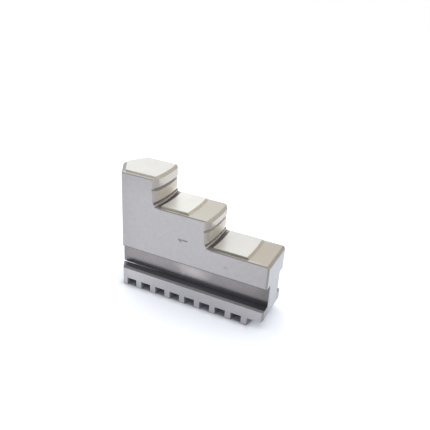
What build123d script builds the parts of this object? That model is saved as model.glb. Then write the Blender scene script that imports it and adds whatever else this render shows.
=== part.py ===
from build123d import *
import os
from math import sqrt, tan, radians

# Inside jaw of a three jaw self-centring lathe chuck, one piece of hardened and ground steel.
# It stands on the crests of its scroll teeth. While it is modelled, X runs outwards along the
# chuck radius from the shoulder where the V tip starts, Y across the width, Z up from the crests.

# Body
width = 22.0  # across the two side faces
body_length = 73.8  # from the shoulder to the outer end
tip_angle = 120.0  # between the two flanks of the V, so that three jaws close to a point
tip_flat = 2.0  # width of the blunt nose of the V
end_break = 0.8  # on the two upright edges of the outer end
end_top_break = 1.2  # along the upper edge of the outer end
end_foot_break = 1.0  # along the lower edge of the outer end, at the root of the teeth

# Steps, each with a raised and ground seat
low_seat = 34.3  # height of the lowest seat above the tooth crests
low_rise = 13.4  # from the lowest seat to the middle one
high_rise = 13.3  # from the middle seat to the highest one
seat_lift = 1.0  # a seat stands this much above the plain part of its step
seat_inset = 1.75  # from a side face, or a flank of the V, in to the upright wall of a seat
high_riser = 18.7  # shoulder to the upper riser, in the middle of the width
mid_step = 26.4  # from the upper riser to the middle one
mid_plain = 11.3  # plain part of the middle step, from its seat out to the middle riser
low_plain = 10.6  # plain part of the lowest step, from its seat out to the end face
seat_gap = 2.1  # from a riser to the ground part of the seat at its foot
seat_inner_break = 0.5  # on the edge of a seat that faces its riser
grind_radius = 62.0  # of the upper riser about the chuck axis, when the jaws are ground in place

# Risers
riser_bevel = 1.25  # along the top of each riser
band_foot = 4.05  # from the plain level of a step down to the foot of its upper gripping band
riser_groove = 1.9  # height of the groove between the two bands
groove_depth = 2.3
groove_wall = 0.9  # height of the upright wall at the back of the groove
band_recess = 0.4  # the lower band lies this much behind the upper one
undercut_height = 1.35  # wheel relief in the foot of a riser
undercut_depth = 0.6
foot_rib = 1.0  # rib between the wheel relief and the channel beside the seat

# Cutters that run round the stepped side outline
side_break = 0.4  # on the edge of the outline, and along the top of the V
bevel_width = 2.6  # of the bevel beside each riser, seen from the outer end
bevel_angle = 38.0  # of the cutter, away from the square of the side face
bevel_corner = 3.8  # radius that the cutter leaves in the inner corners
cutter_spare = 0.3  # how far the cutter's cone runs past the risers

# Guide groove in each side
flange_top = 10.35  # height of the groove's lower wall
groove_top = 22.0
guide_depth = 4.5
flange_break = 0.85  # on the flange's upper outer edge
neck_break = 1.4  # on the neck where it meets the V

# Scroll teeth
pitch = 8.0
first_gap = 2.2  # shoulder to the first gap, on the side face
gap_width = 5.2  # on the side face
tooth_depth = 4.3
outer_flank_radius = 35.0  # convex flank, tighter than the scroll's innermost turn
inner_flank_radius = 90.0  # concave flank, wider than the scroll's outermost turn
crest_break = 0.4

# Places that follow from the sizes above
half = width / 2
tip_reach = (half - tip_flat / 2) / tan(radians(tip_angle / 2))
low_level = low_seat - seat_lift
mid_level = low_level + low_rise
high_level = mid_level + high_rise
high_seat = high_level + seat_lift
mid_riser = high_riser + mid_step
grind_axis = high_riser - grind_radius
over = 5.0  # how far a cutting shape runs past the steel
near = 0.001  # two heights closer than this are the same


def plan_outline():
    """The jaw seen from above: a bar with a blunt V at its inner end."""
    return Polyline(
        (0, -half),
        (body_length, -half),
        (body_length, half),
        (0, half),
        (-tip_reach, tip_flat / 2),
        (-tip_reach, -tip_flat / 2),
        close=True,
    )


def seat_footprint():
    """The seats keep clear of the side faces and of the V, with a ledge left all along them."""
    inset = offset(make_face(plan_outline()), amount=-seat_inset, kind=Kind.INTERSECTION)
    return extrude(inset, amount=high_seat)


def blank():
    """The bar with its highest seat before the steps are ground; the edges of the V and of the
    outer end are broken."""
    bar = extrude(make_face(plan_outline()), amount=high_level)
    upright = bar.edges().filter_by(Axis.Z).sort_by(Axis.X)[-2:]
    bar = chamfer(upright, end_break)
    rim = bar.faces().sort_by(Axis.Z)[-1].edges().sort_by(Axis.X)[:3]
    return chamfer(rim, side_break) + seat_footprint()


def turned(section):
    """The steps are ground with the jaw in the chuck, so all that is ground turns about its axis."""
    return revolve(Plane.XZ * make_face(section), Axis((grind_axis, 0, 0), (0, 0, 1)), 360)


def riser_line(riser, floor, level, top):
    """One riser from the channel at its foot up to its bevel, in the X-Z plane; level is the plain
    height of the step above it and top the height where the bevel ends."""
    lower = riser - band_recess
    groove_high = level - band_foot
    groove_low = groove_high - riser_groove
    groove_middle = (groove_high + groove_low) / 2
    relief_low = floor + foot_rib
    relief_high = relief_low + undercut_height
    return [
        Line((lower, floor), (lower, relief_low)),
        ThreePointArc(
            (lower, relief_low),
            (lower - undercut_depth, (relief_low + relief_high) / 2),
            (lower, relief_high),
        ),
        Polyline(
            (lower, relief_high),
            (lower, groove_low),
            (riser - groove_depth, groove_middle - groove_wall / 2),
            (riser - groove_depth, groove_middle + groove_wall / 2),
            (riser, groove_high),
            (riser, top - riser_bevel),
            (riser - riser_bevel, top),
        ),
    ]


def ground_steps():
    """The risers and the plain level of each step, without the seats."""
    inner = -tip_reach - over
    outer = body_length + over
    line = [
        Polyline((inner, -over), (outer, -over), (outer, low_level), (mid_riser - band_recess, low_level)),
        *riser_line(mid_riser, low_level, mid_level, mid_level),
        Line((mid_riser - riser_bevel, mid_level), (high_riser - band_recess, mid_level)),
        *riser_line(high_riser, mid_level, high_level, high_seat),
        Polyline((high_riser - riser_bevel, high_seat), (inner, high_seat), (inner, -over)),
    ]
    return turned(Curve() + line)


def seat_ring(riser, outer, level):
    """The seat at the foot of a riser, all the way round the chuck; outer is its upper outer edge."""
    inner = riser + seat_gap - seat_inner_break
    seat = level + seat_lift
    section = Polyline(
        (inner, level - seat_lift),
        (inner, seat - seat_inner_break),
        (inner + seat_inner_break, seat),
        (outer, seat),
        (outer + seat_lift, level),
        (outer + seat_lift, level - seat_lift),
        close=True,
    )
    return turned(section)


def lower_seats():
    """The middle and the lowest seat."""
    rings = seat_ring(high_riser, mid_riser - mid_plain, mid_level)
    rings += seat_ring(mid_riser, body_length - low_plain, low_level)
    return rings & seat_footprint()


def side_edge(riser):
    """Where a riser's bevel starts: behind the riser's arc and the run of the bevel."""
    radius = riser - grind_axis
    arc = sqrt(radius**2 - (half - bevel_width) ** 2)
    return grind_axis + arc - (bevel_width - side_break) * tan(radians(bevel_angle))


def side_outline(inset):
    """The stepped outline seen from the side, smaller by the inset along its risers and levels."""
    inner = -tip_reach - over
    outer = body_length + over
    high_edge = side_edge(high_riser) - inset
    mid_edge = side_edge(mid_riser) - inset
    outline = [
        Line((inner, high_level - inset), (high_edge, high_level - inset)),
        FilletPolyline(
            (high_edge, high_level - inset),
            (high_edge, mid_level - inset),
            (mid_edge, mid_level - inset),
            radius=bevel_corner + inset,
        ),
        FilletPolyline(
            (mid_edge, mid_level - inset),
            (mid_edge, low_level - inset),
            (outer, low_level - inset),
            radius=bevel_corner + inset,
        ),
        Polyline(
            (outer, low_level - inset), (outer, -over), (inner, -over), (inner, high_level - inset)
        ),
    ]
    return Plane.XZ * make_face(Curve() + outline)


def bevelled_side():
    """What the bevel cutters leave: the side outline, growing as it goes in from the side face."""
    depth = (high_riser - side_edge(high_riser) + cutter_spare) / tan(radians(bevel_angle))
    edge = extrude(side_outline(side_break), amount=side_break, taper=-45)
    flank = extrude(side_outline(0), amount=depth, taper=-bevel_angle)
    side = edge + Pos(0, -side_break, 0) * flank
    middle = Pos(body_length / 2, 0, high_seat / 2) * Box(
        2 * (body_length + over), width - 2 * (depth + side_break), high_seat + 2 * over
    )
    return Pos(0, half, 0) * side + middle + Pos(0, -half, 0) * mirror(side, Plane.XZ)


def guide_grooves():
    """The two grooves that ride on the ribs of the chuck body's slot, open at both ends."""
    height = groove_top - flange_top
    bar = Box(
        body_length + tip_reach + 2 * over,
        guide_depth + over,
        height,
        align=(Align.MIN, Align.MIN, Align.MIN),
    )
    groove = Pos(-tip_reach - over, -half - over, flange_top) * bar
    return groove + mirror(groove, Plane.XZ)


def tooth_gap():
    """One gap between scroll teeth: both walls bow outwards, the inner one more than the outer."""
    reach = half + over / 2
    inner_centre = sqrt(outer_flank_radius**2 - half**2)
    outer_centre = sqrt(inner_flank_radius**2 - half**2)
    inner_end = sqrt(outer_flank_radius**2 - reach**2) - inner_centre
    outer_end = sqrt(inner_flank_radius**2 - reach**2) - outer_centre + gap_width
    outline = [
        ThreePointArc((inner_end, -reach), (outer_flank_radius - inner_centre, 0), (inner_end, reach)),
        Line((inner_end, reach), (outer_end, reach)),
        ThreePointArc(
            (outer_end, reach),
            (inner_flank_radius - outer_centre + gap_width, 0),
            (outer_end, -reach),
        ),
        Line((outer_end, -reach), (inner_end, -reach)),
    ]
    return Pos(0, 0, -over) * extrude(make_face(Curve() + outline), amount=tooth_depth + over)


def scroll_teeth(jaw):
    """Gaps are cut as long as their middle lies in the steel. The last one runs out at the outer
    end where less than a whole tooth would be left there."""
    first_middle = first_gap + gap_width / 2
    last = int((body_length - first_middle) // pitch)
    for k in range(last + 1):
        jaw -= Pos(first_gap + k * pitch, 0, 0) * tooth_gap()
    last_middle = first_middle + last * pitch
    if body_length - last_middle < pitch - gap_width / 2:
        run_out = Box(
            body_length + over - last_middle,
            width + over,
            tooth_depth + over,
            align=(Align.MIN, Align.CENTER, Align.MAX),
        )
        jaw -= Pos(last_middle, 0, tooth_depth) * run_out
    return jaw


def broken_edges(jaw):
    """Sharp edges are broken at the outer end, along the guide grooves and round the crests."""
    end_top = Polyline(
        (body_length - end_top_break - over, low_level + over),
        (body_length + over, low_level + over),
        (body_length + over, low_level - end_top_break - over),
        close=True,
    )
    jaw -= extrude(Plane.XZ * make_face(end_top), amount=half + over, both=True)
    end = jaw.edges().filter_by(Axis.Y).group_by(Axis.X)[-1].sort_by(Axis.Z)
    if end[0].center().Z > near:  # where a whole tooth ends the row, this is a crest edge
        jaw = chamfer(end[0], end_foot_break)
    along = jaw.edges().filter_by(Axis.X)
    rail = along.filter_by_position(Axis.Z, flange_top - near, flange_top + near).sort_by(Axis.Y)
    jaw = chamfer([rail[0], rail[-1]], flange_break)
    upright = jaw.edges().filter_by(Axis.Z)
    neck = upright.filter_by_position(Axis.Z, flange_top, groove_top).sort_by(Axis.X)[:2]
    jaw = chamfer(neck, neck_break)
    crests = jaw.edges().filter_by_position(Axis.Z, -near, near)
    return chamfer(crests, crest_break)


def inside_jaw():
    """The whole jaw, still with its shoulder at X = 0."""
    jaw = ((blank() & ground_steps()) + lower_seats()) & bevelled_side()
    jaw -= guide_grooves()
    return broken_edges(scroll_teeth(jaw))


os.makedirs("parts", exist_ok=True)
jaw = Pos(-(body_length - tip_reach) / 2, 0, 0) * inside_jaw()
export_step(jaw, "parts/inside_jaw.step")
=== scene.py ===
import math
from collections import namedtuple

import bpy
from mathutils import Matrix, Vector


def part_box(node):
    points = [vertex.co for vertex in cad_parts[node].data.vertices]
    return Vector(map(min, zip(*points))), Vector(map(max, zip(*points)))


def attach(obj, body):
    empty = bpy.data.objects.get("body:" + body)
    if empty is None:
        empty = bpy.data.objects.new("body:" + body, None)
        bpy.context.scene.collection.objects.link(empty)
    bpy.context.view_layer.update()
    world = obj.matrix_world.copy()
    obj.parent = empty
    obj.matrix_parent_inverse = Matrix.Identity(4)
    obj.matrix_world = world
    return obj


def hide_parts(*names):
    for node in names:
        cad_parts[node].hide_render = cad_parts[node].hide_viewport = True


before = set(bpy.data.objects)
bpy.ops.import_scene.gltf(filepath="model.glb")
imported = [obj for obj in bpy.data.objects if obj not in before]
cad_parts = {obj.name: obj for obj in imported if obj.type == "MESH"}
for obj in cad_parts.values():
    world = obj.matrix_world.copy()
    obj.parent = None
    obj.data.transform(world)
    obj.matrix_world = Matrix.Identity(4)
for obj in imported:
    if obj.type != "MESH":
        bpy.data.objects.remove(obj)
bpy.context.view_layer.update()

bl_info = {
    "name": "Chuck jaw finish",
    "version": (1, 0, 0),
    "blender": (4, 5, 0),
    "location": "3D View > Sidebar > Chuck jaw",
    "description": "Gives a stepped chuck jaw its ground, turned and milled steel, in a plain studio",
    "category": "Object",
}

OUTER_END, HALF_WIDTH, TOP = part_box("inside_jaw")[1]

MM = 0.001
SLACK = 0.05 * MM  # faces nearer to a level than this lie on it
EDGE_SLACK = 0.01 * MM  # the same for the ends of an edge
WELD = 0.002 * MM  # corners nearer to each other than this are one
SQUARE = 0.995  # a normal with more than this along an axis is square to it
SLANT = 0.5  # a normal with more than this along an axis leans that way
TILT = 0.3  # a face of a riser whose normal has more than this upwards is its top bevel
CURL = 0.2  # a face beside the groove's corner whose normal has more than this upwards is its radius
SMOOTH_BELOW = math.radians(22)  # facets that meet at less than this are shaded as one curve
STREAK = 30  # working marks are this many times longer than wide
NOISE_LOW, NOISE_HIGH = 0.3, 0.7  # a noise stays mostly between these
RAGGED = 0.3  # the edge of a spot wanders in and out by this share
ROUGHNESS_SPREAD = 0.06  # what the marks add to the roughness and take from it
SENSOR_MM = 36

# How the soft light grows with the sine of its elevation
CEILING = {"From Min": 0.45, "From Max": 0.85, "To Min": 0.25, "To Max": 1.55}

# Marks of working: width in mm, the axis they run along, or "turned" for rings about the chuck's axis,
# contrast, and depth in mm. Real ones are 0.02 to 0.2 mm wide, and a pixel of the picture covers 0.5 mm,
# so they are drawn 0.2 to 0.45 mm wide, as coarse as they need to show.
Grain = namedtuple("Grain", "width_mm along contrast depth_mm")

# Cloudy patches, as oil and handling leave on bare steel: width in mm and contrast
Patch = namedtuple("Patch", "width_mm contrast")

# A change of shade between two places in mm on an axis, or on "foot", the height above a riser's foot
Fade = namedtuple("Fade", "axis start_mm end_mm at_start at_end")

# A spot of another colour that thins out from its middle: place and reach in mm
Spot = namedtuple("Spot", "middle_mm reach_mm strength colour")


def linear(hex_colour):
    """An sRGB hex colour as linear red, green and blue."""
    parts = [int(hex_colour[k : k + 2], 16) / 255 for k in (1, 3, 5)]
    return tuple(c / 12.92 if c <= 0.04045 else ((c + 0.055) / 1.055) ** 2.4 for c in parts)


def colour_property(name, description, hex_colour):
    """A colour setting, from its sRGB hex value."""
    return bpy.props.FloatVectorProperty(
        name=name,
        description=description,
        subtype="COLOR",
        size=3,
        min=0,
        max=1,
        default=linear(hex_colour),
    )


def length_property(name, description, default_mm):
    """A length setting, from its size in mm."""
    return bpy.props.FloatProperty(
        name=name,
        description=description,
        subtype="DISTANCE",
        unit="LENGTH",
        default=default_mm * MM,
    )


class JawSizes(bpy.types.PropertyGroup):
    """Sizes that tell one finish from the next, and the radius at the foot of the guide grooves."""

    seat_lift: length_property("Seat lift", "A ground seat stands this much above its step", 1.0)
    middle_seat: length_property("Middle seat", "Height of the middle seat", 47.7)
    low_seat: length_property("Lowest seat", "Height of the lowest seat", 34.3)
    groove_top: length_property("Groove top", "Upper wall of the guide grooves", 22.0)
    flange_top: length_property("Flange top", "Lower wall of the guide grooves", 10.35)
    neck: length_property("Neck", "Half the width between the guide grooves", 6.5)
    corner: length_property("Corner radius", "Left by the cutter at the foot of a guide groove", 0.2)
    tooth_depth: length_property("Tooth depth", "Height of the scroll teeth", 4.3)
    shoulder: length_property("Shoulder", "Where the V nose starts along the jaw", -34.0)
    high_riser: length_property("Upper riser", "Place of the upper riser along the jaw", -15.3)
    mid_riser: length_property("Middle riser", "Place of the middle riser along the jaw", 11.1)
    chuck_axis: length_property("Chuck axis", "Place of the chuck's axis along the jaw", -77.3)
    channel: length_property("Channel", "From a riser out to the seat at its foot", 2.2)
    cheek_reach: length_property("Cheek reach", "How far a cheek runs in behind its riser", 6.0)
    band_foot: length_property("Band foot", "From a step's level down to the foot of its upper band", 4.05)
    riser_groove: length_property("Riser groove", "Height of the groove between the bands", 1.9)
    foot_relief: length_property("Foot relief", "Height of rib and wheel relief above the channel", 2.35)
    foot_rib: length_property("Foot rib", "Height of the rib above the channel", 1.0)


class JawFinishes(bpy.types.PropertyGroup):
    """Colours of the steel, by how each face was worked."""

    side: colour_property("Side faces", "Surface-ground side faces", "#ADAAAA")
    flange: colour_property("Flange", "Side of the flange and of the scroll teeth", "#B6B4B5")
    end: colour_property("Outer end", "Linished outer end", "#ABABAD")
    # The V nose's dark grey is painted shade
    vee: colour_property("V nose", "Ground flanks of the V", "#7C787A")
    seat: colour_property("Seats", "Fine-ground seats", "#D9D8D3")
    shoulder: colour_property("Seat walls", "Upright walls round the seats", "#B5B0A7")
    step: colour_property("Plain steps", "Plain part of the steps, straw-tinted by tempering", "#BFBBB1")
    straw: colour_property("Straw", "Deeper straw tint of the lowest step", "#B8AFA3")
    handled: colour_property("Handled ledge", "Ledge of the lowest step, greyed by handling", "#C5C1C0")
    ledge: colour_property("Top ledge", "Ledge round the highest seat", "#E0DED9")
    bevel: colour_property("Bevels", "Form-cut bevels of the risers, seats and outer end", "#ADA599")
    burr: colour_property("Broken edges", "Stoned edges along the sides of the steps", "#86837F")
    upright: colour_property("Upright edges", "Stoned upright edges of the outer end", "#908C8A")
    rail: colour_property("Rail edge", "Bevel along the upper edge of the flange", "#737273")
    band: colour_property("Gripping bands", "Cylindrically ground bands of the risers", "#C1BCB3")
    lower_band: colour_property("Lower bands", "The lower, recessed bands", "#C7C1B5")
    cheek: colour_property("Riser cheeks", "Bevels beside the risers", "#A49E98")
    groove: colour_property("Riser grooves", "Turned groove between two bands", "#C8C3BE")
    # The ribs' near-white colour is a painted highlight
    rib: colour_property("Foot ribs", "Rib at the foot of a riser", "#F3EFEB")
    # The reliefs' dark colour is painted shade for the recesses at the risers' feet
    relief: colour_property("Reliefs", "Turned reliefs at the feet of the risers", "#77716D")
    guide: colour_property("Guide grooves", "Milled wall of the guide grooves", "#928E8D")
    # The groove corners' near-white colour is a painted glint
    corner: colour_property("Groove corners", "Radius along the foot of the guide grooves", "#EDEDF2")
    rail_top: colour_property("Rail top", "Milled top of the flange", "#7F818D")
    teeth: colour_property("Scroll teeth", "Flanks and roots of the scroll teeth", "#C2C2C6")
    mark: colour_property("Stamped mark", "Floor of the stamped jaw numeral", "#9A9793")
    stain: colour_property("Oil stain", "Dried oil on the side face", "#8B8670")
    # The colour of a painted highlight on the middle of the guide groove
    guide_highlight: colour_property("Guide groove highlight", "Painted highlight on the middle of the guide groove", "#D2CBC6")


class NumeralSettings(bpy.types.PropertyGroup):
    """The jaw's place in its set: a plain 1, stamped lying on its side."""

    length: length_property("Length", "Length of the numeral's stem", 4.5)
    flag: length_property("Flag", "Length of the numeral's flag", 1.7)
    flag_angle: bpy.props.FloatProperty(
        name="Flag angle",
        description="Angle between the flag and the stem",
        subtype="ANGLE",
        default=math.radians(42),
    )
    thickness: length_property("Thickness", "Thickness of the strokes", 0.75)
    depth: length_property("Depth", "How deep the numeral is stamped", 0.2)
    place_x: length_property("Place along", "Middle of the stem along the jaw", -1.6)
    place_z: length_property("Place up", "Middle of the stem above the crests", 34.4)


class StudioSettings(bpy.types.PropertyGroup):
    """Floor, light and camera."""

    floor_size: length_property("Floor size", "Side of the floor", 3000.0)
    floor_colour: colour_property("Floor", "Colour of the floor", "#FCFCFD")
    glow_colour: colour_property("Glow", "Tint of the floor's own glow", "#EAF1FA")
    glow_reach: length_property("Glow reach", "Where the glow is full, from the jaw's foot", 20.0)
    glow_inset: length_property("Glow inset", "How far the glow comes in under the ends of the jaw", 6.5)
    glow_shift: length_property("Glow shift", "More than that at the outer end, less at the nose", 1.5)
    glow_edge: length_property("Glow edge", "Width of the strip in which the glow sets in", 2.5)
    glow_near: bpy.props.FloatProperty(
        name="Glow near", description="Strength of the glow beside the jaw", default=0.27, min=0
    )
    glow_far: bpy.props.FloatProperty(
        name="Glow far", description="Strength of the glow in the open", default=0.32, min=0
    )
    # The floor's colour under the jaw is a painted shadow
    painted_shadow_colour: colour_property("Under the jaw", "Colour of the floor under the jaw", "#A7A8B1")
    under_edge: length_property("Edge of the grey", "Width in which that colour fades out", 1.5)
    under_margin: length_property("Margin of the grey", "How far it reaches past the glow's start", 0.1)
    surround_colour: colour_property("Surround colour", "Colour of the soft surround", "#F4F6FC")
    surround: bpy.props.FloatProperty(
        name="Surround", description="Strength of the soft surround", default=0.95, min=0
    )
    lamp_power: bpy.props.FloatProperty(
        name="Softbox", description="Strength of the soft light", default=0.5, min=0
    )
    lamp_angle: bpy.props.FloatProperty(
        name="Softbox width",
        description="Angle that the soft light covers",
        subtype="ANGLE",
        default=math.radians(40),
    )
    lamp_place: bpy.props.FloatVectorProperty(
        name="Softbox place",
        description="Where the soft light comes from",
        subtype="TRANSLATION",
        unit="LENGTH",
        default=(-0.35, 0.30, 0.60),
    )
    lamp_aim: length_property("Softbox aim", "Height on the jaw that the soft light points at", 20.0)
    lens: bpy.props.FloatProperty(
        name="Lens", description="Focal length on a 36 mm sensor", default=42.52, unit="CAMERA"
    )
    eye: bpy.props.FloatVectorProperty(
        name="Camera place",
        description="Where the camera stands",
        subtype="TRANSLATION",
        unit="LENGTH",
        default=(0.09016, -0.18703, 0.14720),
    )
    azimuth: bpy.props.FloatProperty(
        name="Azimuth",
        description="Turn of the camera round the jaw",
        subtype="ANGLE",
        default=math.radians(23.639),
    )
    elevation: bpy.props.FloatProperty(
        name="Elevation",
        description="Height angle of the camera",
        subtype="ANGLE",
        default=math.radians(26.555),
    )
    roll: bpy.props.FloatProperty(
        name="Roll",
        description="Tilt of the camera about its own axis",
        subtype="ANGLE",
        default=math.radians(3.998),
    )


def add_node(tree, kind, inputs=None, **settings):
    """Adds a node, sets it up and links what is given as a socket."""
    node = tree.nodes.new(kind)
    for name, value in settings.items():
        setattr(node, name, value)
    for socket, value in (inputs or {}).items():
        if isinstance(value, bpy.types.NodeSocket):
            tree.links.new(value, node.inputs[socket])
        else:
            node.inputs[socket].default_value = value
    return node


def new_material(name):
    """A material with an empty node tree."""
    material = bpy.data.materials.new(name)
    material.use_nodes = True
    material.node_tree.nodes.clear()
    return material


def seen_directly(tree):
    """1 for what the camera sees, also in a reflection, and 0 for what only gets light."""
    ray = add_node(tree, "ShaderNodeLightPath").outputs
    return add_node(
        tree,
        "ShaderNodeMath",
        {0: ray["Is Camera Ray"], 1: ray["Is Glossy Ray"]},
        operation="MAXIMUM",
    ).outputs[0]


def round_the_axis(tree, place):
    """Coordinates that follow the rings about the chuck's axis: radius, a slow run along the ring, and
    height."""
    axis = (bpy.context.scene.jaw_sizes.chuck_axis, 0, 0)
    flat = add_node(tree, "ShaderNodeVectorMath", {0: place, 1: axis}, operation="SUBTRACT").outputs[0]
    plan = add_node(tree, "ShaderNodeVectorMath", {0: flat, 1: (1, 1, 0)}, operation="MULTIPLY").outputs[0]
    radius = add_node(tree, "ShaderNodeVectorMath", {0: plan}, operation="LENGTH").outputs["Value"]
    parts = add_node(tree, "ShaderNodeSeparateXYZ", {0: flat}).outputs
    along = add_node(tree, "ShaderNodeMath", {0: parts[1], 1: 1 / STREAK}, operation="MULTIPLY").outputs[0]
    return add_node(tree, "ShaderNodeCombineXYZ", {0: radius, 1: along, 2: parts[2]}).outputs[0]


def above_the_foot(tree, height):
    """Height above the channel at the foot of a riser, which starts again at the next riser."""
    s = bpy.context.scene.jaw_sizes
    foot = s.low_seat - s.seat_lift
    rise = s.middle_seat - s.low_seat
    above = add_node(tree, "ShaderNodeMath", {0: height, 1: foot}, operation="SUBTRACT").outputs[0]
    return add_node(tree, "ShaderNodeMath", {0: above, 1: rise, 2: 0.0}, operation="WRAP").outputs[0]


def faded(tree, place, shade, fades):
    """The shade, multiplied by each of the fades."""
    parts = dict(zip("XYZ", add_node(tree, "ShaderNodeSeparateXYZ", {0: place}).outputs))
    for fade in fades:
        value = above_the_foot(tree, parts["Z"]) if fade.axis == "foot" else parts[fade.axis]
        ramp = add_node(
            tree,
            "ShaderNodeMapRange",
            {
                "Value": value,
                "From Min": fade.start_mm * MM,
                "From Max": fade.end_mm * MM,
                "To Min": fade.at_start,
                "To Max": fade.at_end,
            },
            interpolation_type="SMOOTHSTEP",
        ).outputs[0]
        shade = add_node(tree, "ShaderNodeMath", {0: shade, 1: ramp}, operation="MULTIPLY").outputs[0]
    return shade


def spotted(tree, place, tone, ragged, spots):
    """The tone with each of the spots laid over it, inside an edge that the ragged value moves."""
    for spot in spots:
        middle = [v * MM for v in spot.middle_mm]
        reach = [v * MM for v in spot.reach_mm]
        off = add_node(
            tree, "ShaderNodeVectorMath", {0: place, 1: middle}, operation="SUBTRACT"
        ).outputs[0]
        share = add_node(tree, "ShaderNodeVectorMath", {0: off, 1: reach}, operation="DIVIDE").outputs[0]
        far = add_node(tree, "ShaderNodeVectorMath", {0: share}, operation="LENGTH").outputs["Value"]
        edge = add_node(tree, "ShaderNodeMath", {0: far, 1: ragged}, operation="MULTIPLY").outputs[0]
        near = add_node(
            tree,
            "ShaderNodeMapRange",
            {"Value": edge, "From Min": 0.0, "From Max": 1.0, "To Min": spot.strength, "To Max": 0.0},
            interpolation_type="SMOOTHSTEP",
        ).outputs[0]
        tone = add_node(
            tree,
            "ShaderNodeMix",
            {"Factor": near, 6: tone, 7: (*spot.colour, 1)},
            data_type="RGBA",
        ).outputs[2]
    return tone


def steel(name, colour, roughness, grain, patch, metallic=1.0, fades=(), spots=()):
    """Hardened tool steel with the marks that working it left, cloudy patches, fades and spots."""
    material = new_material(name)
    tree = material.node_tree
    place = add_node(tree, "ShaderNodeTexCoord").outputs["Object"]
    fine = 1 / (grain.width_mm * MM)
    if grain.along == "turned":
        run = round_the_axis(tree, place)
        scale = (fine, fine, fine)
    else:
        run = place
        scale = [fine / STREAK if axis == grain.along else fine for axis in "XYZ"]
    stretched = add_node(tree, "ShaderNodeMapping", {"Vector": run, "Scale": scale}).outputs[0]
    marks = add_node(
        tree,
        "ShaderNodeTexNoise",
        {"Vector": stretched, "Scale": 1.0, "Detail": 3.0, "Roughness": 0.6},
    ).outputs[0]
    clouds = add_node(
        tree,
        "ShaderNodeTexNoise",
        {"Vector": place, "Scale": 1 / (patch.width_mm * MM), "Detail": 4.0, "Roughness": 0.55},
    ).outputs[0]
    by_marks, by_clouds, ragged, rough = (
        add_node(
            tree,
            "ShaderNodeMapRange",
            {
                "Value": noise,
                "From Min": NOISE_LOW,
                "From Max": NOISE_HIGH,
                "To Min": middle - swing,
                "To Max": middle + swing,
            },
        ).outputs[0]
        for noise, middle, swing in (
            (marks, 1, grain.contrast),
            (clouds, 1, patch.contrast),
            (clouds, 1, RAGGED),
            (marks, roughness, ROUGHNESS_SPREAD),
        )
    )
    shade = add_node(tree, "ShaderNodeMath", {0: by_marks, 1: by_clouds}, operation="MULTIPLY").outputs[0]
    shade = faded(tree, place, shade, fades)
    tone = add_node(
        tree, "ShaderNodeVectorMath", {0: tuple(colour), "Scale": shade}, operation="SCALE"
    ).outputs[0]
    tone = spotted(tree, place, tone, ragged, spots)
    bump = add_node(
        tree,
        "ShaderNodeBump",
        {"Height": marks, "Strength": 1.0, "Distance": grain.depth_mm * MM},
    ).outputs[0]
    shader = add_node(
        tree,
        "ShaderNodeBsdfPrincipled",
        {"Base Color": tone, "Metallic": metallic, "Roughness": rough, "Normal": bump},
    )
    add_node(tree, "ShaderNodeOutputMaterial", {"Surface": shader.outputs[0]})
    return material


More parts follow.
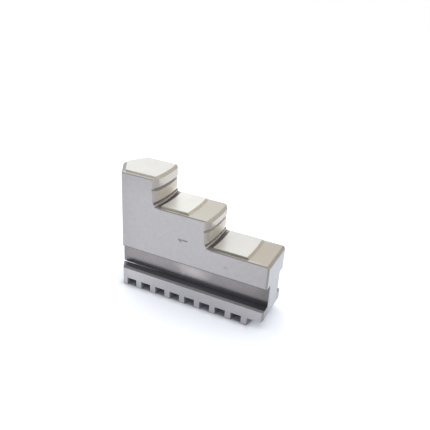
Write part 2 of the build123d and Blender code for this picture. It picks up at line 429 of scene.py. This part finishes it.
def finishes():
    """One material for each way in which the jaw's faces were worked. Places are in mm."""
    tint = bpy.context.scene.jaw_finishes
    s = bpy.context.scene.jaw_sizes
    low_step, middle_step = ((seat - s.seat_lift) / MM for seat in (s.low_seat, s.middle_seat))
    groove_top, side, outer_end = (length / MM for length in (s.groove_top, HALF_WIDTH, OUTER_END))
    made = [
        # Surface-ground hardened steel: blue-grey and satin, with a faint straight grain along the jaw,
        # and one oil stain. Painted shading darkens it towards the nose, the outer end and the top, and a
        # dark line runs along its edge over the groove
        steel(
            "ground_side",
            tint.side,
            roughness=0.34,
            grain=Grain(0.25, "X", 0.03, 0.0015),
            patch=Patch(2.2, 0.04),
            fades=[
                Fade("X", -38, -22, 0.96, 1.03),
                Fade("X", 8, 40, 1.0, 0.91),
                Fade("Z", 48, 59, 1.0, 0.94),
                Fade("Z", groove_top, groove_top + 0.5, 0.25, 1.0),
            ],
            spots=[Spot((19.9, -side, 26.9), (1.6, 1.6, 1.2), 0.45, tint.stain)],
        ),
        # The same grinding on the flange and the teeth, with painted shading: lightest just behind the
        # nose, darker at the nose and further along the jaw
        steel(
            "ground_flange",
            tint.flange,
            roughness=0.34,
            grain=Grain(0.25, "X", 0.03, 0.0015),
            patch=Patch(2.2, 0.05),
            fades=[Fade("X", -36, -30, 0.92, 1.07), Fade("X", -28, 8, 1.0, 0.88)],
        ),
        # Linished steel: pale, with upright lines that show, and darker down its two long edges, in the
        # stoned edges' colour
        steel(
            "linished_end",
            tint.end,
            roughness=0.30,
            grain=Grain(0.45, "Z", 0.10, 0.002),
            patch=Patch(5.0, 0.03),
            spots=[Spot((outer_end, y, 12), (4, 5, 14), 0.9, tint.upright) for y in (-8, 8)],
        ),
        # Ground flanks of the nose: a dark grey that is painted shade
        steel(
            "ground_vee",
            tint.vee,
            roughness=0.34,
            grain=Grain(0.25, "Z", 0.03, 0.0015),
            patch=Patch(2.2, 0.03),
        ),
        # Fine-ground in the chuck: pale and clean, with faint rings about the chuck's axis. Painted light
        # makes the middle seat brightest near the upper riser and darker further out
        steel(
            "ground_seat",
            tint.seat,
            roughness=0.38,
            grain=Grain(0.25, "turned", 0.02, 0.0006),
            patch=Patch(6.0, 0.02),
            metallic=0.85,
            fades=[
                Fade("X", -16, -14.5, 1.0, 1.17),
                Fade("X", -12, -4, 1.0, 0.92),
                Fade("X", 3, 10, 1.0, 0.91),
            ],
        ),
        # Walls that the wheel's side left round the seats: brown-grey, darker on the lower steps and
        # lightest round the highest seat
        steel(
            "wheel_cut_wall",
            tint.shoulder,
            roughness=0.40,
            grain=Grain(0.25, "X", 0.03, 0.001),
            patch=Patch(3.0, 0.03),
            fades=[Fade("Z", 34, 47, 0.76, 0.95), Fade("Z", 48, 60, 1.0, 1.1)],
        ),
        # Left from hardening and blasting: even, matt and straw-tinted, deepest on the lowest step, and
        # cleaner on the ledges beside the seats
        steel(
            "tempered_step",
            tint.step,
            roughness=0.42,
            grain=Grain(0.35, "turned", 0.015, 0.001),
            patch=Patch(1.5, 0.02),
            fades=[Fade("Z", low_step, middle_step, 0.9, 1.0)],
            spots=[Spot((30, 0, low_step), (30, 30, 3), 0.8, tint.straw)]
            + [
                Spot((x, y, z), (9, 1.6, 1), strength, colour)
                for y in (0.6 - side, side - 0.6)
                for x, z, strength, colour in (
                    (-9, middle_step, 1.0, tint.ledge),
                    (19, low_step, 0.9, tint.handled),
                    (31, low_step, 0.35, tint.ledge),
                )
            ],
        ),
        # The same round the highest seat, darker at the nose end
        steel(
            "tempered_ledge",
            tint.ledge,
            roughness=0.42,
            grain=Grain(0.35, "turned", 0.015, 0.001),
            patch=Patch(1.5, 0.03),
            fades=[Fade("X", -34.6, -31.5, 0.42, 1.08)],
        ),
        # Bevels by a form cutter: tan and satin, each step's a little paler than the one below
        steel(
            "form_cut_bevel",
            tint.bevel,
            roughness=0.38,
            grain=Grain(0.3, "turned", 0.03, 0.001),
            patch=Patch(2.0, 0.08),
            fades=[
                Fade("Z", low_step - 0.1, low_step + 0.1, 0.84, 1.05),
                Fade("Z", middle_step - 0.1, middle_step + 0.1, 1.0, 1.16),
                Fade("Z", 48, 59, 1.0, 0.93),
            ],
        ),
        # Edges broken with a stone: dark brown-grey lines
        steel(
            "stoned_edge",
            tint.burr,
            roughness=0.45,
            grain=Grain(0.2, "X", 0.05, 0.001),
            patch=Patch(1.0, 0.06),
            fades=[Fade("Z", 33, 60, 1.07, 1.22)],
        ),
        # The same at the outer end, stroked upwards: a greyer line down each side of it
        steel(
            "stoned_upright_edge",
            tint.upright,
            roughness=0.40,
            grain=Grain(0.2, "Z", 0.04, 0.001),
            patch=Patch(1.0, 0.05),
        ),
        # Bevel milled along the flange: a dark, slightly blotchy line under the groove
        steel(
            "milled_rail_edge",
            tint.rail,
            roughness=0.40,
            grain=Grain(0.25, "X", 0.05, 0.001),
            patch=Patch(1.5, 0.08),
        ),
        # Cylindrically ground upper bands: bright, with a grain round the riser
        steel(
            "ground_band",
            tint.band,
            roughness=0.24,
            grain=Grain(0.3, "turned", 0.03, 0.0008),
            patch=Patch(4.0, 0.03),
        ),
        # The set-back bands under them, which grip less often: duller and browner. Painted light makes
        # them paler at their foot and towards the back, and darker at the front
        steel(
            "ground_lower_band",
            tint.lower_band,
            roughness=0.5,
            grain=Grain(0.3, "turned", 0.03, 0.0008),
            patch=Patch(4.0, 0.03),
            fades=[
                Fade("foot", 2.3, 5.0, 1.3, 1.0),
                Fade("Z", 43, 53, 1.1, 1.0),
                Fade("Y", -3, 9, 0.9, 1.12),
            ],
        ),
        # Milled cheeks beside the risers: satin and greyer, with painted shade dark at the foot
        steel(
            "milled_cheek",
            tint.cheek,
            roughness=0.35,
            grain=Grain(0.3, "Z", 0.03, 0.001),
            patch=Patch(2.0, 0.03),
            fades=[Fade("foot", 0.4, 3.2, 0.5, 1.0)],
        ),
        # Turned groove between the bands: dull, with the tool's rings
        steel(
            "turned_groove",
            tint.groove,
            roughness=0.65,
            grain=Grain(0.3, "turned", 0.05, 0.0015),
            patch=Patch(1.2, 0.03),
            fades=[Fade("Z", 43, 53, 1.1, 1.02)],
        ),
        # Turned rib: its near-white colour is a painted highlight, a pale line between two dark ones, and
        # its foot is darkened with painted shade
        steel(
            "turned_rib",
            tint.rib,
            roughness=0.55,
            grain=Grain(0.3, "turned", 0.03, 0.0003),
            patch=Patch(2.0, 0.03),
            metallic=0.5,
            fades=[Fade("foot", 0.15, 0.35, 0.4, 1.0)],
        ),
        # Turned reliefs, rough where no wheel reaches: dark with painted shade for the recesses at the
        # risers' feet, and lighter, in the flange's colour, where the channel runs out at the side faces
        steel(
            "turned_relief",
            tint.relief,
            roughness=0.5,
            grain=Grain(0.3, "turned", 0.06, 0.002),
            patch=Patch(1.2, 0.03),
            spots=[
                Spot((x, y, z), (3, 3.2, 1.5), 1.0, tint.flange)
                for y in (-side, side)
                for x, z in ((-15.2, middle_step), (11.5, low_step))
            ],
        ),
        # Milled guide groove: grey, with the cutter's marks along the jaw. Painted shade darkens it at its
        # foot and towards both ends, and a painted highlight lightens its middle
        steel(
            "milled_guide",
            tint.guide,
            roughness=0.24,
            grain=Grain(0.35, "X", 0.06, 0.0015),
            patch=Patch(4.0, 0.05),
            fades=[
                Fade("Z", 10.3, 15.0, 0.55, 1.0),
                Fade("X", -39, -27, 0.88, 1.0),
                Fade("X", 5, 38, 1.0, 0.85),
                Fade("X", 29, 40, 1.0, 0.75),
            ],
            spots=[Spot((2, -6.5, 16.5), (12, 9, 4.8), 0.6, tint.guide_highlight)],
        ),
        # The radius that the cutter's corner leaves along the groove's foot: its near-white colour is a
        # painted glint, bright at the nose and fading to dark further out
        steel(
            "cutter_corner",
            tint.corner,
            roughness=0.3,
            grain=Grain(0.35, "X", 0.03, 0.0005),
            patch=Patch(3.0, 0.03),
            fades=[Fade("X", -33, -28, 1.0, 0.3), Fade("X", -26, -12, 1.0, 0.15)],
        ),
        # Milled top of the flange: smooth along the jaw and dark, as it mirrors the groove over it
        steel(
            "milled_rail_top",
            tint.rail_top,
            roughness=0.30,
            grain=Grain(0.35, "X", 0.06, 0.0015),
            patch=Patch(4.0, 0.03),
        ),
        # Milled scroll teeth: dull, with painted shade darkening the last gap
        steel(
            "milled_teeth",
            tint.teeth,
            roughness=0.45,
            grain=Grain(0.3, "Z", 0.05, 0.002),
            patch=Patch(2.0, 0.03),
            fades=[Fade("X", 27, 31, 1.0, 0.5)],
        ),
        # Bottom of a punched numeral: dull, since no wheel reaches it
        steel(
            "stamped_mark",
            tint.mark,
            roughness=0.45,
            grain=Grain(0.2, "X", 0.04, 0.001),
            patch=Patch(1.0, 0.03),
        ),
    ]
    return {material.name: material for material in made}


def white_card(studio):
    """Matt white card: it keeps the jaw's soft shadow and reads as white in the open, where a faint glow
    of its own, seen by the camera and in the steel, lifts it. Under the jaw it has no glow, and a painted
    shadow makes it greyer, so that the tooth gaps read dark."""
    material = new_material("white_card")
    tree = material.node_tree
    place = add_node(tree, "ShaderNodeTexCoord").outputs["Object"]
    shift = (studio.glow_shift, 0, 0)
    shifted = add_node(tree, "ShaderNodeVectorMath", {0: place, 1: shift}, operation="ADD").outputs[0]
    away = add_node(tree, "ShaderNodeVectorMath", {0: shifted}, operation="ABSOLUTE").outputs[0]
    # How far a place lies outside the jaw's footprint, which the glow's inset makes shorter
    foot = (OUTER_END - studio.glow_inset, HALF_WIDTH, 0)
    clear = add_node(tree, "ShaderNodeVectorMath", {0: away, 1: foot}, operation="SUBTRACT").outputs[0]
    parts = add_node(tree, "ShaderNodeSeparateXYZ", {0: clear}).outputs
    gap = add_node(tree, "ShaderNodeMath", {0: parts[0], 1: parts[1]}, operation="MAXIMUM").outputs[0]
    rise = add_node(
        tree,
        "ShaderNodeMapRange",
        {
            "Value": gap,
            "From Max": studio.glow_reach,
            "To Min": studio.glow_near,
            "To Max": studio.glow_far,
        },
    ).outputs[0]
    outside = add_node(
        tree, "ShaderNodeMapRange", {"Value": gap, "From Min": 0.0, "From Max": studio.glow_edge}
    ).outputs[0]
    glow = add_node(tree, "ShaderNodeMath", {0: rise, 1: outside}, operation="MULTIPLY").outputs[0]
    seen = seen_directly(tree)
    strength = add_node(tree, "ShaderNodeMath", {0: glow, 1: seen}, operation="MULTIPLY").outputs[0]
    # Painted shadow: the card turns to a grey under the jaw, fading out at the footprint's edge
    out_of_shadow = add_node(
        tree,
        "ShaderNodeMapRange",
        {"Value": gap, "From Min": -studio.under_edge, "From Max": studio.under_margin},
        interpolation_type="SMOOTHSTEP",
    ).outputs[0]
    card = add_node(
        tree,
        "ShaderNodeMix",
        {"Factor": out_of_shadow, 6: (*studio.painted_shadow_colour, 1), 7: (*studio.floor_colour, 1)},
        data_type="RGBA",
    ).outputs[2]
    matt = add_node(tree, "ShaderNodeBsdfDiffuse", {"Color": card}).outputs[0]
    light = add_node(
        tree, "ShaderNodeEmission", {"Color": (*studio.glow_colour, 1), "Strength": strength}
    ).outputs[0]
    both = add_node(tree, "ShaderNodeAddShader", {0: matt, 1: light}).outputs[0]
    add_node(tree, "ShaderNodeOutputMaterial", {"Surface": both})
    return material


def beyond(x, y, riser):
    """How far a place lies outside a riser, on the radius from the chuck's axis."""
    axis = bpy.context.scene.jaw_sizes.chuck_axis
    return math.hypot(x - axis, y) - (riser - axis)


def step_finish(centre, normal, seat, riser):
    """The finish of a face on one step, or None for a face that isn't there. The riser is the one that
    stands on the step."""
    s = bpy.context.scene.jaw_sizes
    x, y, z = centre
    level = seat - s.seat_lift
    if not level - SLACK < z < seat + SLACK:
        return None
    off = beyond(x, y, riser)
    if normal[2] > SQUARE:
        if z > seat - SLACK:
            return "ground_seat"
        # A channel's floor takes the reliefs' dark finish: painted shade at the riser's foot
        if off < s.channel:
            return "turned_relief"
        return "tempered_ledge" if seat == TOP else "tempered_step"
    # So near to the riser, a wall is the riser's own
    if off < s.channel / 2:
        return None
    return "form_cut_bevel" if normal[2] > SLANT else "wheel_cut_wall"


def riser_finish(centre, normal, riser, floor, level):
    """The finish of a face on one riser, from the channel at its foot to the level above, or None."""
    s = bpy.context.scene.jaw_sizes
    x, y, z = centre
    on_riser = -s.cheek_reach < beyond(x, y, riser) < SLACK
    in_height = floor - SLACK < z < level + s.seat_lift + SLACK
    if not (on_riser and in_height) or normal[2] > SQUARE:
        return None
    if abs(normal[1]) > SLANT:
        return "stoned_edge" if normal[2] > SLANT else "milled_cheek"
    band_foot = level - s.band_foot
    # The rib's pale finish is a painted highlight, and the relief over it is dark with painted shade
    if z < floor + s.foot_rib + SLACK:
        return "turned_rib"
    if z < floor + s.foot_relief + SLACK:
        return "turned_relief"
    if z < band_foot - s.riser_groove + SLACK:
        return "ground_lower_band"
    if z < band_foot + SLACK:
        return "turned_groove"
    return "form_cut_bevel" if normal[2] > TILT else "ground_band"


def in_numeral(centre):
    """Whether a face belongs to the stamped numeral's recess."""
    stamp = bpy.context.scene.numeral_settings
    x, y, z = centre
    return (
        abs(x - stamp.place_x) < stamp.length
        and abs(z - stamp.place_z) < stamp.length
        and -HALF_WIDTH + SLACK < y < -HALF_WIDTH + stamp.depth + SLACK
    )


def sort_face(centre, normal):
    """The finish of a face, told from where it lies and where it points."""
    s = bpy.context.scene.jaw_sizes
    x, y, z = centre
    sideways = abs(normal[1]) > SQUARE
    if sideways and HALF_WIDTH - abs(y) < SLACK:
        return "ground_side" if z > s.groove_top else "ground_flange"
    if in_numeral(centre):
        return "stamped_mark"
    # No riser stands on the highest step, and the chuck's axis in its place is far enough off
    steps = ((TOP, s.chuck_axis), (s.middle_seat, s.high_riser), (s.low_seat, s.mid_riser))
    for seat, riser in steps:
        finish = step_finish(centre, normal, seat, riser)
        if finish:
            return finish
    for (upper, _), (lower, riser) in zip(steps, steps[1:]):
        finish = riser_finish(centre, normal, riser, lower - s.seat_lift, upper - s.seat_lift)
        if finish:
            return finish
    if normal[0] > SQUARE and z > s.tooth_depth:
        return "linished_end"
    if z < s.tooth_depth + SLACK:
        return "milled_teeth"
    if z > s.groove_top + SLACK:
        if normal[2] > SLANT:
            return "form_cut_bevel" if normal[0] > SLANT else "stoned_edge"
        return "stoned_upright_edge" if normal[0] > 0 else "ground_vee"
    near_corner = abs(y) < s.neck + s.corner and z < s.flange_top + s.corner
    if near_corner and CURL < normal[2] < SQUARE:
        return "cutter_corner"
    if normal[2] > SQUARE:
        return "milled_rail_top"
    if normal[2] > SLANT:
        return "milled_rail_edge"
    if x < s.shoulder:
        return "ground_vee"
    return "milled_guide" if abs(normal[0]) < SLANT else "stoned_upright_edge"


class CHUCKJAW_OT_solid(bpy.types.Operator):
    """Copies the CAD solid, joins its loose triangles and rounds the feet of the guide grooves"""

    bl_idname = "chuckjaw.solid"
    bl_label = "Copy the solid"

    def execute(self, context):
        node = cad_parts["inside_jaw"]
        bpy.ops.object.select_all(action="DESELECT")
        jaw = bpy.data.objects.new("ground_jaw", node.data.copy())
        context.collection.objects.link(jaw)
        jaw.select_set(True)
        context.view_layer.objects.active = jaw
        bpy.ops.object.mode_set(mode="EDIT")
        bpy.ops.mesh.select_all(action="SELECT")
        bpy.ops.mesh.remove_doubles(threshold=WELD)
        bpy.ops.mesh.select_mode(type="EDGE")
        bpy.ops.mesh.select_all(action="DESELECT")
        bpy.ops.object.mode_set(mode="OBJECT")
        sizes = context.scene.jaw_sizes
        for edge in jaw.data.edges:
            ends = [jaw.data.vertices[k].co for k in edge.vertices]
            edge.select = all(
                abs(end.z - sizes.flange_top) < EDGE_SLACK and abs(abs(end.y) - sizes.neck) < EDGE_SLACK
                for end in ends
            )
        if not any(edge.select for edge in jaw.data.edges):
            raise RuntimeError("No edge was found at the foot of the guide grooves")
        bpy.ops.object.mode_set(mode="EDIT")
        bpy.ops.mesh.bevel(offset=sizes.corner, segments=3)
        bpy.ops.object.mode_set(mode="OBJECT")
        if jaw.data.has_custom_normals:
            bpy.ops.mesh.customdata_custom_splitnormals_clear()
        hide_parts("inside_jaw")
        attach(jaw, "root")
        return {"FINISHED"}


class CHUCKJAW_OT_numeral(bpy.types.Operator):
    """Punches the jaw's numeral into its side face, stroke by stroke, as a real recess"""

    bl_idname = "chuckjaw.numeral"
    bl_label = "Stamp the numeral"

    def execute(self, context):
        stamp = context.scene.numeral_settings
        jaw = bpy.data.objects["ground_jaw"]
        # Stem and flag both start at the numeral's top, and half of each punch's depth is in the steel
        top = Matrix.Translation((stamp.place_x - stamp.length / 2, -HALF_WIDTH, stamp.place_z))
        for turn, length in ((0.0, stamp.length), (stamp.flag_angle, stamp.flag)):
            bpy.ops.object.select_all(action="DESELECT")
            bpy.ops.mesh.primitive_cube_add(size=1)
            punch = context.object
            bpy.ops.object.mode_set(mode="EDIT")
            bpy.ops.mesh.select_all(action="SELECT")
            bpy.ops.transform.resize(value=(length, 2 * stamp.depth, stamp.thickness))
            bpy.ops.transform.translate(value=(length / 2, 0, 0))
            bpy.ops.object.mode_set(mode="OBJECT")
            punch.matrix_world = top @ Matrix.Rotation(turn, 4, "Y")
            bpy.ops.object.transform_apply(location=True, rotation=True, scale=True)

            bpy.ops.object.select_all(action="DESELECT")
            jaw.select_set(True)
            context.view_layer.objects.active = jaw
            cut = jaw.modifiers.new("numeral", "BOOLEAN")
            cut.operation = "DIFFERENCE"
            cut.solver = "EXACT"
            cut.object = punch
            bpy.ops.object.modifier_apply(modifier=cut.name)
            bpy.data.objects.remove(punch)
        if not any(in_numeral(face.center) for face in jaw.data.polygons):
            raise RuntimeError("The numeral left no mark on the side face")
        return {"FINISHED"}


class CHUCKJAW_OT_dress(bpy.types.Operator):
    """Gives each face the finish of its working"""

    bl_idname = "chuckjaw.dress"
    bl_label = "Finish the faces"

    def execute(self, context):
        jaw = bpy.data.objects["ground_jaw"]
        bpy.ops.object.select_all(action="DESELECT")
        jaw.select_set(True)
        context.view_layer.objects.active = jaw
        jaw.data.materials.clear()
        made = finishes()
        for material in made.values():
            jaw.data.materials.append(material)
        names = list(made)
        finish_of = [names.index(sort_face(f.center, f.normal)) for f in jaw.data.polygons]
        bpy.ops.object.mode_set(mode="EDIT")
        bpy.ops.mesh.select_mode(type="FACE")
        for number in range(len(names)):
            bpy.ops.mesh.select_all(action="DESELECT")
            bpy.ops.object.mode_set(mode="OBJECT")
            for face, finish in zip(jaw.data.polygons, finish_of):
                face.select = finish == number
            jaw.active_material_index = number
            bpy.ops.object.mode_set(mode="EDIT")
            bpy.ops.object.material_slot_assign()
        bpy.ops.object.mode_set(mode="OBJECT")
        bpy.ops.object.shade_smooth_by_angle(angle=SMOOTH_BELOW, keep_sharp_edges=False)
        return {"FINISHED"}


class CHUCKJAW_OT_stage(bpy.types.Operator):
    """Adds the white floor, the soft light and the camera"""

    bl_idname = "chuckjaw.stage"
    bl_label = "Set the stage"

    def execute(self, context):
        studio = context.scene.studio_settings
        bpy.ops.object.select_all(action="DESELECT")
        bpy.ops.mesh.primitive_plane_add(size=studio.floor_size, location=(0, 0, 0))
        floor = context.object
        floor.name = "studio_floor"
        bpy.ops.object.mode_set(mode="EDIT")
        bpy.ops.mesh.select_all(action="SELECT")
        bpy.ops.mesh.subdivide(number_cuts=3)
        bpy.ops.object.mode_set(mode="OBJECT")
        floor.data.materials.append(white_card(studio))

        world = bpy.data.worlds.new("white_surround")
        context.scene.world = world
        world.use_nodes = True
        sky = world.node_tree
        sky.nodes.clear()
        seen = seen_directly(sky)
        way = add_node(sky, "ShaderNodeTexCoord").outputs["Generated"]
        rise = add_node(sky, "ShaderNodeSeparateXYZ", {0: way}).outputs[2]
        # The soft light comes mostly from above, as from a lit ceiling, so the jaw shades its own foot
        from_above = add_node(sky, "ShaderNodeMapRange", {"Value": rise, **CEILING}).outputs[0]
        strength = add_node(
            sky, "ShaderNodeMath", {0: from_above, 1: studio.surround}, operation="MULTIPLY"
        ).outputs[0]
        soft = add_node(
            sky, "ShaderNodeBackground", {"Color": (*studio.surround_colour, 1), "Strength": strength}
        ).outputs[0]
        white = add_node(
            sky, "ShaderNodeBackground", {"Color": (1, 1, 1, 1), "Strength": 1.0}
        ).outputs[0]
        light = add_node(sky, "ShaderNodeMixShader", {0: seen, 1: soft, 2: white}).outputs[0]
        add_node(sky, "ShaderNodeOutputWorld", {"Surface": light})

        bpy.ops.object.light_add(type="SUN", location=studio.lamp_place)
        softbox = context.object
        softbox.name = "softbox"
        softbox.data.angle = studio.lamp_angle
        softbox.data.energy = studio.lamp_power
        aim = Vector((0, 0, studio.lamp_aim)) - softbox.location
        softbox.rotation_euler = aim.to_track_quat("-Z", "Y").to_euler()

        bpy.ops.object.camera_add(location=studio.eye)
        camera = context.object
        camera.name = "camera"
        a, e, t = studio.azimuth, studio.elevation, studio.roll
        back = Vector((math.sin(a) * math.cos(e), -math.cos(a) * math.cos(e), math.sin(e)))
        level = Vector((0, 0, 1)).cross(back).normalized()
        upright = back.cross(level)
        right = math.cos(t) * level + math.sin(t) * upright
        up = back.cross(right)
        camera.rotation_euler = Matrix((right, up, back)).transposed().to_euler()
        camera.data.lens = studio.lens
        camera.data.sensor_width = SENSOR_MM
        camera.data.clip_start = 10 * MM
        context.scene.camera = camera
        context.scene.view_settings.view_transform = "Standard"
        return {"FINISHED"}


class CHUCKJAW_PT_panel(bpy.types.Panel):
    """Lists the jaw's settings and the steps that make it"""

    bl_idname = "CHUCKJAW_PT_panel"
    bl_label = "Chuck jaw"
    bl_space_type = "VIEW_3D"
    bl_region_type = "UI"
    bl_category = "Chuck jaw"

    def draw(self, context):
        scene = context.scene
        groups = (
            (CHUCKJAW_OT_solid, scene.jaw_sizes),
            (CHUCKJAW_OT_numeral, scene.numeral_settings),
            (CHUCKJAW_OT_dress, scene.jaw_finishes),
            (CHUCKJAW_OT_stage, scene.studio_settings),
        )
        for operator, settings in groups:
            box = self.layout.box()
            for name in settings.bl_rna.properties.keys():
                if name not in {"rna_type", "name"}:
                    box.prop(settings, name)
            box.operator(operator.bl_idname)


CLASSES = (
    JawSizes,
    JawFinishes,
    NumeralSettings,
    StudioSettings,
    CHUCKJAW_OT_solid,
    CHUCKJAW_OT_numeral,
    CHUCKJAW_OT_dress,
    CHUCKJAW_OT_stage,
    CHUCKJAW_PT_panel,
)


def register():
    for cls in CLASSES:
        bpy.utils.register_class(cls)
    bpy.types.Scene.jaw_sizes = bpy.props.PointerProperty(type=JawSizes)
    bpy.types.Scene.jaw_finishes = bpy.props.PointerProperty(type=JawFinishes)
    bpy.types.Scene.numeral_settings = bpy.props.PointerProperty(type=NumeralSettings)
    bpy.types.Scene.studio_settings = bpy.props.PointerProperty(type=StudioSettings)


def unregister():
    del bpy.types.Scene.studio_settings
    del bpy.types.Scene.numeral_settings
    del bpy.types.Scene.jaw_finishes
    del bpy.types.Scene.jaw_sizes
    for cls in reversed(CLASSES):
        bpy.utils.unregister_class(cls)


def main():
    register()
    bpy.ops.chuckjaw.solid()
    bpy.ops.chuckjaw.numeral()
    bpy.ops.chuckjaw.dress()
    bpy.ops.chuckjaw.stage()


if __name__ == "__main__":
    main()
